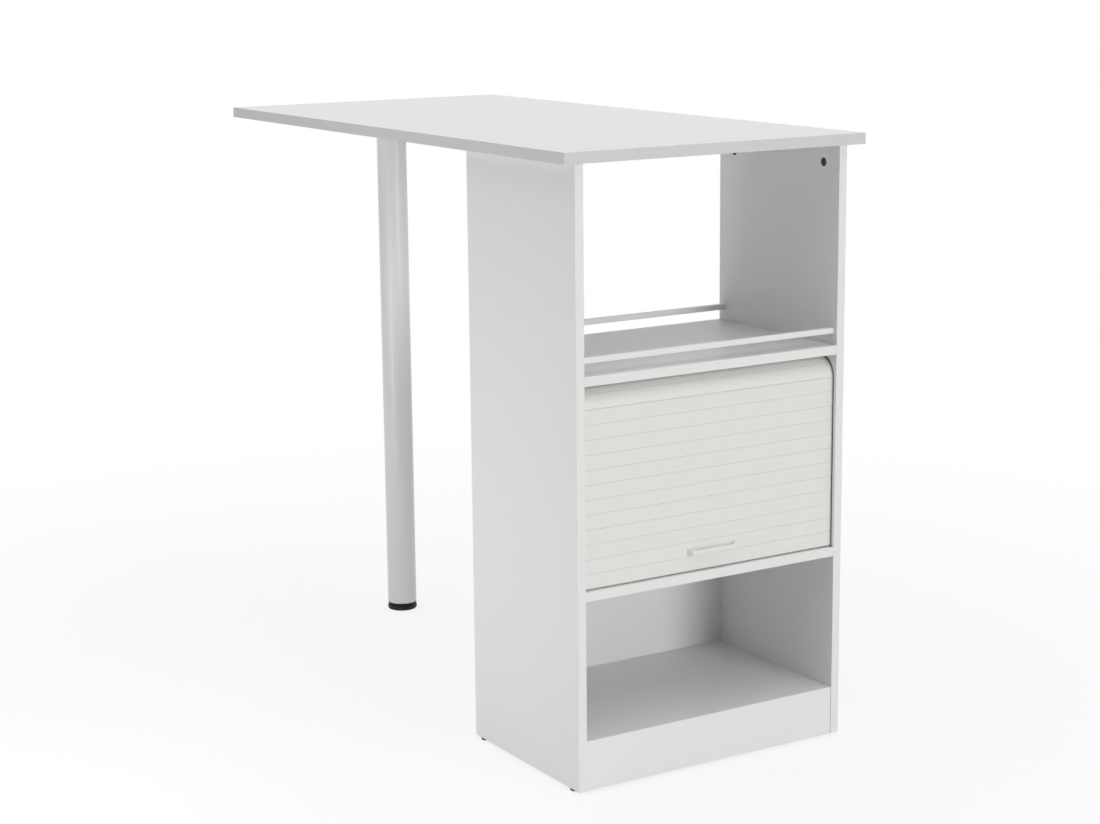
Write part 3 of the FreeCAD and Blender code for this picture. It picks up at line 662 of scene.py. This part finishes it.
def turn_mesh(piece, rotation, place=(0, 0, 0)):
    """Turns a piece's mesh about the origin and carries it to a place."""
    piece.data.transform(Matrix.Translation(place) @ rotation)


screw_low, screw_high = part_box("handle_screws")
handle_screws = cross_screw("handle_fixing_screws", HANDLE_SCREW_HEAD_RADIUS, HANDLE_SCREW_RADIUS,
                            HANDLE_SCREW_HEAD_RIM, HANDLE_SCREW_LENGTH, dome=HANDLE_SCREW_DOME)
turn_mesh(handle_screws, Matrix.Rotation(math.radians(-90), 4, "X"))
screw_spacing = screw_high.x - screw_low.x - 2 * HANDLE_SCREW_HEAD_RADIUS
screw_row = {"Count": HANDLE_SCREWS, "Offset": (screw_spacing, 0.0, 0.0)}
row_start = (-screw_spacing / 2, slat_high.y, (screw_low.z + screw_high.z) / 2)
repeated(handle_screws, zinc_plate, "GeometryNodeMeshLine", screw_row, centre=row_start, mode="OFFSET")
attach(handle_screws, "shutter")
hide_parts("handle_screws")


# Back panel: thin fibreboard with a white printed face, slid into grooves of the side panels and
# screwed to the rear edges of the middle shelf and the floor. It closes the two lower bays.
PRINT_WHITE = (0.775, 0.772, 0.758)
PRINT_SHADE = dim(PRINT_WHITE, 0.97)
PRINT_ROUGHNESS = (0.50, 0.60)
PRINT_GRAIN = 0.5 * MM
PRINT_CLOUD = 40 * MM
PRINT_GRAIN_WEIGHT = 0.5
PRINT_CLOUD_WEIGHT = 0.5
PRINT_RELIEF = 0.02 * MM
back_facing, tree, shader, place = new_finish("back_panel_facing")
fine = grain(tree, place, PRINT_GRAIN)
cloud = grain(tree, place, PRINT_CLOUD)
tone = weighted(tree, fine, PRINT_GRAIN_WEIGHT, cloud, PRINT_CLOUD_WEIGHT)
colour_by(tree, shader, tone, PRINT_SHADE, PRINT_WHITE)
roughen_by(tree, shader, cloud, PRINT_ROUGHNESS)
emboss(tree, shader, fine, PRINT_RELIEF, strength=0.4)
paint("back_panel", back_facing)

BACK_SCREW_COLUMNS = 3
BACK_SCREW_ROWS = 2
BACK_SCREW_HEAD_RADIUS = 3.4 * MM
BACK_SCREW_HEAD_HEIGHT = 2.0 * MM
BACK_SCREW_RADIUS = 1.75 * MM
BACK_SCREW_LENGTH = 25 * MM
screw_low, screw_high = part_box("back_panel_screws")
back_screws = cross_screw("back_panel_fixing_screws", BACK_SCREW_HEAD_RADIUS, BACK_SCREW_RADIUS,
                          BACK_SCREW_HEAD_HEIGHT, BACK_SCREW_LENGTH)
turn_mesh(back_screws, Matrix.Rotation(math.radians(-90), 4, "X"))
grid_width = screw_high.x - screw_low.x - 2 * BACK_SCREW_HEAD_RADIUS
grid_height = screw_high.z - screw_low.z - 2 * BACK_SCREW_HEAD_RADIUS
screw_grid = {"Size X": grid_width, "Size Y": grid_height,
              "Vertices X": BACK_SCREW_COLUMNS, "Vertices Y": BACK_SCREW_ROWS}
grid_centre = (0.0, screw_high.y, (screw_low.z + screw_high.z) / 2)
grid_turn = (math.radians(90), 0, 0)
repeated(back_screws, zinc_plate, "GeometryNodeMeshGrid", screw_grid, centre=grid_centre, turn=grid_turn)
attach(back_screws, "cabinet")
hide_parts("back_panel_screws")


# Glides: small round black plastic pads, each nailed under a side panel through a sunk hole, which
# keep the boards' edges off the floor. Their moulded surface has a fine leather grain.
BLACK = (0.010, 0.010, 0.010)
BLACK_HOLLOW = dim(BLACK, 0.7)
BLACK_CREST = dim(BLACK, 1.5)
BLACK_SPREAD = (0.35, 0.7)
BLACK_ROUGHNESS = (0.42, 0.56)
BLACK_SPECULAR = 0.25
PEBBLE_SIZE = 0.5 * MM
PEBBLE_RELIEF = 0.05 * MM
black_plastic, tree, shader, place = new_finish("black_plastic")
pebbles = grain(tree, place, PEBBLE_SIZE, detail=1.0)
colour_by(tree, shader, pebbles, BLACK_HOLLOW, BLACK_CREST, BLACK_SPREAD)
roughen_by(tree, shader, pebbles, BLACK_ROUGHNESS)
shader.inputs["Specular IOR Level"].default_value = BLACK_SPECULAR
emboss(tree, shader, pebbles, PEBBLE_RELIEF, strength=0.5)

GLIDE_COLUMNS = 2
GLIDE_ROWS = 2
GLIDE_EASE = 2.5 * MM
NAIL_HOLE_RADIUS = 2.25 * MM
NAIL_HOLE_DEPTH = 3.5 * MM
ROUND_SEGMENTS = 128


def turned(name, outline, finish, centre):
    """A closed ring or disc about an upright line, from (radius, height) points."""
    mesh_tool = bmesh.new()
    turns = [2 * math.pi * index / ROUND_SEGMENTS for index in range(ROUND_SEGMENTS)]
    rings = []
    for radius, z in outline:
        if radius == 0:
            rings.append([mesh_tool.verts.new((*centre, z))])
            continue
        around = [(radius * math.cos(turn), radius * math.sin(turn)) for turn in turns]
        rings.append([mesh_tool.verts.new((centre[0] + x, centre[1] + y, z)) for x, y in around])
    for first, second in zip(rings, rings[1:] + rings[:1]):
        for index in range(ROUND_SEGMENTS):
            corners = [first[index % len(first)], first[(index - 1) % len(first)],
                       second[(index - 1) % len(second)], second[index % len(second)]]
            corners = list(dict.fromkeys(corners))
            if len(corners) > 2:
                mesh_tool.faces.new(corners)
    return new_piece(name, mesh_tool, finish)


glide_low, glide_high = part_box("cabinet_glides")
panel_low, panel_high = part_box("side_panel_right")
glide_radius = glide_high.x - (panel_low.x + panel_high.x) / 2
glide_outline = [(0, NAIL_HOLE_DEPTH), (NAIL_HOLE_RADIUS, NAIL_HOLE_DEPTH), (NAIL_HOLE_RADIUS, glide_low.z)]
ease_centre = (glide_radius - GLIDE_EASE, glide_low.z + GLIDE_EASE)
glide_outline += arc(ease_centre, GLIDE_EASE, -90, 0, 2 * LIP_STEPS)
glide_outline += [(glide_radius, glide_high.z), (0, glide_high.z)]
glides = turned("cabinet_glide_pads", glide_outline, black_plastic, (0, 0))
glide_grid = {"Size X": glide_high.x - glide_low.x - 2 * glide_radius,
              "Size Y": glide_high.y - glide_low.y - 2 * glide_radius,
              "Vertices X": GLIDE_COLUMNS, "Vertices Y": GLIDE_ROWS}
glide_centre = (0.0, (glide_low.y + glide_high.y) / 2, 0.0)
repeated(glides, black_plastic, "GeometryNodeMeshGrid", glide_grid, centre=glide_centre)
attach(glides, "cabinet")
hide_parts("cabinet_glides")


# Guard rails: two white lacquered bars across the upper bay, front and rear, each on two blind
# pins, which keep what stands on the shelf from sliding off.
RAIL_WHITE = (0.810, 0.810, 0.800)
RAIL_SHADE = dim(RAIL_WHITE, 0.985)
RAIL_ROUGHNESS = (0.28, 0.36)
RAIL_PEEL = 1.5 * MM
RAIL_CLOUD = 30 * MM
RAIL_RELIEF = 0.02 * MM
rail_lacquer, tree, shader, place = new_finish("rail_lacquer")
peel = grain(tree, place, RAIL_PEEL)
cloud = grain(tree, place, RAIL_CLOUD)
colour_by(tree, shader, cloud, RAIL_SHADE, RAIL_WHITE)
roughen_by(tree, shader, peel, RAIL_ROUGHNESS)
emboss(tree, shader, peel, RAIL_RELIEF, strength=0.4)
for node in ("guard_rail_front", "guard_rail_rear"):
    paint(node, rail_lacquer)


# Table top: one long board with the same white facing, thicker than the cabinet's boards. Its edge
# band is a shade greyer than the facing. Cam bolts screwed in from below draw the cabinet to it.
TOP_BAND = (0.630, 0.630, 0.620)
paint("table_top", melamine("table_top_facing", *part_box("table_top"), band=TOP_BAND))


# Leg: a round steel tube with a white powder coat, pushed over the socket ring of a steel plate
# under the top and held by a lock screw. The plate has five countersunk screws.
LEG_WHITE = (0.830, 0.830, 0.818)
LEG_SHADE = dim(LEG_WHITE, 0.98)
LEG_ROUGHNESS = (0.26, 0.34)
LEG_PEEL = 1.2 * MM
LEG_CLOUD = 50 * MM
LEG_RELIEF = 0.01 * MM
leg_powder, tree, shader, place = new_finish("leg_powder_coat")
peel = grain(tree, place, LEG_PEEL)
cloud = grain(tree, place, LEG_CLOUD)
colour_by(tree, shader, cloud, LEG_SHADE, LEG_WHITE)
roughen_by(tree, shader, peel, LEG_ROUGHNESS)
emboss(tree, shader, peel, LEG_RELIEF, strength=0.4)

RIM_EASE = 0.5 * MM
LEG_WALL = 1.5 * MM
tube_low, tube_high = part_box("leg_tube")
LEG_X = (tube_low.x + tube_high.x) / 2
LEG_Y = (tube_low.y + tube_high.y) / 2
LEG_RADIUS = (tube_high.x - tube_low.x) / 2
tube_bore = LEG_RADIUS - LEG_WALL
tube_outline = arc((LEG_RADIUS - RIM_EASE, tube_low.z + RIM_EASE), RIM_EASE, -90, 0, LIP_STEPS)
tube_outline += arc((LEG_RADIUS - RIM_EASE, tube_high.z - RIM_EASE), RIM_EASE, 0, 90, LIP_STEPS)
tube_outline += [(tube_bore, tube_high.z), (tube_bore, tube_low.z)]
leg_tube = turned("leg_round_tube", tube_outline, leg_powder, (LEG_X, LEG_Y))
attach(leg_tube, "cabinet")
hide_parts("leg_tube")

SOCKET_CLEARANCE = 0.15 * MM
SOCKET_WALL = 3.0 * MM
plate_low, plate_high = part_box("leg_plate")
PLATE_RADIUS = (plate_high.x - plate_low.x) / 2
socket_outer = tube_bore - SOCKET_CLEARANCE
socket_inner = socket_outer - SOCKET_WALL
plate_outline = [(0, plate_high.z), (PLATE_RADIUS, plate_high.z)]
plate_outline += arc((PLATE_RADIUS - RIM_EASE, tube_high.z + RIM_EASE), RIM_EASE, 0, -90, LIP_STEPS)
plate_outline += [(socket_outer, tube_high.z), (socket_outer, plate_low.z), (socket_inner, plate_low.z),
                  (socket_inner, tube_high.z), (0, tube_high.z)]
leg_plate = turned("leg_fixing_plate", plate_outline, zinc_plate, (LEG_X, LEG_Y))
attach(leg_plate, "cabinet")
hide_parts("leg_plate")

PLATE_SCREWS = 5
SCREW_CIRCLE = 40 * MM
PLATE_SCREW_HEAD_RADIUS = 4.2 * MM
PLATE_SCREW_HEAD_HEIGHT = 2.4 * MM
PLATE_SCREW_RADIUS = 2.2 * MM
PLATE_SCREW_LENGTH = 15 * MM
PLATE_SCREW_PROUD = 0.05 * MM
plate_screws = cross_screw("leg_plate_fixing_screws", PLATE_SCREW_HEAD_RADIUS, PLATE_SCREW_RADIUS,
                           PLATE_SCREW_HEAD_HEIGHT, PLATE_SCREW_LENGTH)
turn_mesh(plate_screws, Matrix.Rotation(math.radians(180), 4, "X"), (0, 0, -PLATE_SCREW_PROUD))
screw_ring = {"Vertices": PLATE_SCREWS, "Radius": SCREW_CIRCLE}
ring_centre = (LEG_X, LEG_Y, tube_high.z)
ring_turn = (0, 0, math.radians(90))
repeated(plate_screws, zinc_plate, "GeometryNodeMeshCircle", screw_ring, centre=ring_centre, turn=ring_turn)
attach(plate_screws, "cabinet")
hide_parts("leg_plate_screws")


# Levelling foot: a black plug pressed into the tube's lower end, and a round moulded pad on a
# threaded stem that screws out of it to take up an uneven floor.
PLUG_BORE = 5.06 * MM
PLUG_CLEARANCE = 0.1 * MM
FLANGE_EASE = 0.6 * MM
plug_low, plug_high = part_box("leg_insert")
plug_outline = [(PLUG_BORE, plug_low.z)]
plug_outline += arc((LEG_RADIUS - FLANGE_EASE, plug_low.z + FLANGE_EASE), FLANGE_EASE, -90, 0, LIP_STEPS)
plug_outline += [(LEG_RADIUS, tube_low.z), (tube_bore - PLUG_CLEARANCE, tube_low.z),
                 (tube_bore - PLUG_CLEARANCE, plug_high.z), (PLUG_BORE, plug_high.z)]
leg_plug = turned("leg_end_plug", plug_outline, black_plastic, (LEG_X, LEG_Y))
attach(leg_plug, "cabinet")
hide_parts("leg_insert")

PAD_HEIGHT = 9.5 * MM
NECK_RADIUS = 27.0 * MM
SOLE_EASE = 4.0 * MM
SHOULDER_EASE = 3.0 * MM
pad_low, pad_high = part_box("foot_pad")
PAD_RADIUS = (pad_high.x - pad_low.x) / 2
pad_outline = [(0, pad_low.z)]
pad_outline += arc((PAD_RADIUS - SOLE_EASE, pad_low.z + SOLE_EASE), SOLE_EASE, -90, 0, 2 * LIP_STEPS)
shoulder_centre = (PAD_RADIUS - SHOULDER_EASE, pad_low.z + PAD_HEIGHT - SHOULDER_EASE)
pad_outline += arc(shoulder_centre, SHOULDER_EASE, 0, 90, 2 * LIP_STEPS)
pad_outline += [(NECK_RADIUS, pad_low.z + PAD_HEIGHT), (NECK_RADIUS, pad_high.z), (0, pad_high.z)]
foot = turned("leg_foot_pad", pad_outline, black_plastic, (LEG_X, LEG_Y))
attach(foot, "leg_foot")
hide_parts("foot_pad")


# Studio: a pale floor that runs to a white background and keeps the table's soft shadow. Broad
# light comes from the ceiling and from low in front, a soft lamp stands at the left of the cabinet,
# and a weak even light comes from all round.
FLOOR_SIZE = 60.0
FLOOR_DROP = 0.2 * MM
FLOOR_ROUGHNESS = 0.9
FLOOR_SEEN = (0.92, 0.92, 0.92, 1.0)
FLOOR_BOUNCE = (0.78, 0.78, 0.78, 1.0)
FLOOR_GLOW_SHARE = 0.80
SHADOW_REACH = (0.9, 2.2)
SKY_STRENGTH = 0.20
WHITE = (1.0, 1.0, 1.0, 1.0)


def seen_directly(tree):
    """1 for rays from the camera and for those that gloss or glass sends on, else 0."""
    path = tree.nodes.new("ShaderNodeLightPath").outputs
    shiny = calculate(tree, "MAXIMUM", path["Is Glossy Ray"], path["Is Transmission Ray"])
    return calculate(tree, "MAXIMUM", path["Is Camera Ray"], shiny)


def mixed_colour(tree, share, first, second):
    """From the first colour at a share of 0 to the second at 1, by the mix node's colour sockets."""
    return step(tree, "ShaderNodeMix", {0: share, 6: first, 7: second}, data_type="RGBA").outputs[2]


def mixed_shader(tree, share, first, second):
    """From the first shader at a share of 0 to the second at 1."""
    return step(tree, "ShaderNodeMixShader", {0: share, 1: first, 2: second}).outputs[0]


floor_finish, tree, shader, place = new_finish("studio_floor")
from_table = step(tree, "ShaderNodeVectorMath", {0: place}, operation="LENGTH").outputs["Value"]
glow_share = rescale(tree, from_table, SHADOW_REACH, (FLOOR_GLOW_SHARE, 1.0))
seen = seen_directly(tree)
tree.links.new(mixed_colour(tree, seen, FLOOR_BOUNCE, FLOOR_SEEN), shader.inputs["Base Color"])
shader.inputs["Roughness"].default_value = FLOOR_ROUGHNESS
glow = step(tree, "ShaderNodeEmission", {"Color": WHITE, "Strength": 1.0}).outputs[0]
share = calculate(tree, "MULTIPLY", seen, glow_share)
surface = mixed_shader(tree, share, shader.outputs[0], glow)
tree.links.new(surface, tree.nodes["Material Output"].inputs["Surface"])
mesh_tool = bmesh.new()
bmesh.ops.create_grid(mesh_tool, x_segments=1, y_segments=1, size=FLOOR_SIZE / 2)
bmesh.ops.translate(mesh_tool, vec=(0, 0, -FLOOR_DROP), verts=mesh_tool.verts)
floor = new_piece("studio_floor", mesh_tool, floor_finish)

world = bpy.data.worlds.new("studio_light")
bpy.context.scene.world = world
world.use_nodes = True
tree = world.node_tree
sky = tree.nodes["Background"]
sky.inputs["Color"].default_value = WHITE
sky.inputs["Strength"].default_value = SKY_STRENGTH
backdrop = step(tree, "ShaderNodeBackground", {"Color": WHITE, "Strength": 1.0}).outputs[0]
surface = mixed_shader(tree, seen_directly(tree), sky.outputs[0], backdrop)
tree.links.new(surface, tree.nodes["World Output"].inputs["Surface"])


def broad_light(name, round_from_front, height, spread, strength):
    """Even light from a direction, in degrees round from the front and above the floor."""
    data = bpy.data.lights.new(name, "SUN")
    data.energy = strength
    data.angle = math.radians(spread)
    lamp = bpy.data.objects.new(name, data)
    lamp.rotation_euler = (math.radians(90 - height), 0, math.radians(round_from_front))
    bpy.context.scene.collection.objects.link(lamp)


def tall_lamp(name, place, aim, width, height, power):
    """An upright soft lamp at a place, turned towards another."""
    data = bpy.data.lights.new(name, "AREA")
    data.shape = "RECTANGLE"
    data.size = width
    data.size_y = height
    data.energy = power
    lamp = bpy.data.objects.new(name, data)
    lamp.location = place
    lamp.rotation_euler = (Vector(aim) - Vector(place)).to_track_quat("-Z", "Y").to_euler()
    lamp.visible_camera = False
    bpy.context.scene.collection.objects.link(lamp)


SIDE_LAMP_PLACE = (-1.48, -0.25, 0.34)
SIDE_LAMP_AIM = (0, -0.25, 0.34)
broad_light("ceiling_light", round_from_front=0, height=90, spread=100, strength=1.77)
broad_light("front_light", round_from_front=12, height=9, spread=20, strength=1.18)
tall_lamp("side_lamp", SIDE_LAMP_PLACE, SIDE_LAMP_AIM, width=0.45, height=0.66, power=4.3)


# Camera: the photograph's viewpoint, to the left of the open front and a little above the top. Its
# turns are in radians: round to the right, down, and about the line of sight.
CAMERA_PLACE = (-2.1751, -3.6127, 1.3877)
CAMERA_YAW = 0.5529
CAMERA_PITCH = 0.2048
CAMERA_ROLL = 0.0100
CAMERA_LENS = 74.49
SENSOR_WIDTH = 36.0
camera_data = bpy.data.cameras.new("photo_camera")
camera_data.lens = CAMERA_LENS
camera_data.sensor_width = SENSOR_WIDTH
camera = bpy.data.objects.new("photo_camera", camera_data)
bpy.context.scene.collection.objects.link(camera)
aim = Matrix.Rotation(-CAMERA_YAW, 4, "Z") @ Matrix.Rotation(math.radians(90) - CAMERA_PITCH, 4, "X")
camera.matrix_world = Matrix.Translation(CAMERA_PLACE) @ aim @ Matrix.Rotation(-CAMERA_ROLL, 4, "Z")
bpy.context.scene.camera = camera
bpy.context.scene.view_settings.view_transform = "Standard"

bpy.context.view_layer.update()
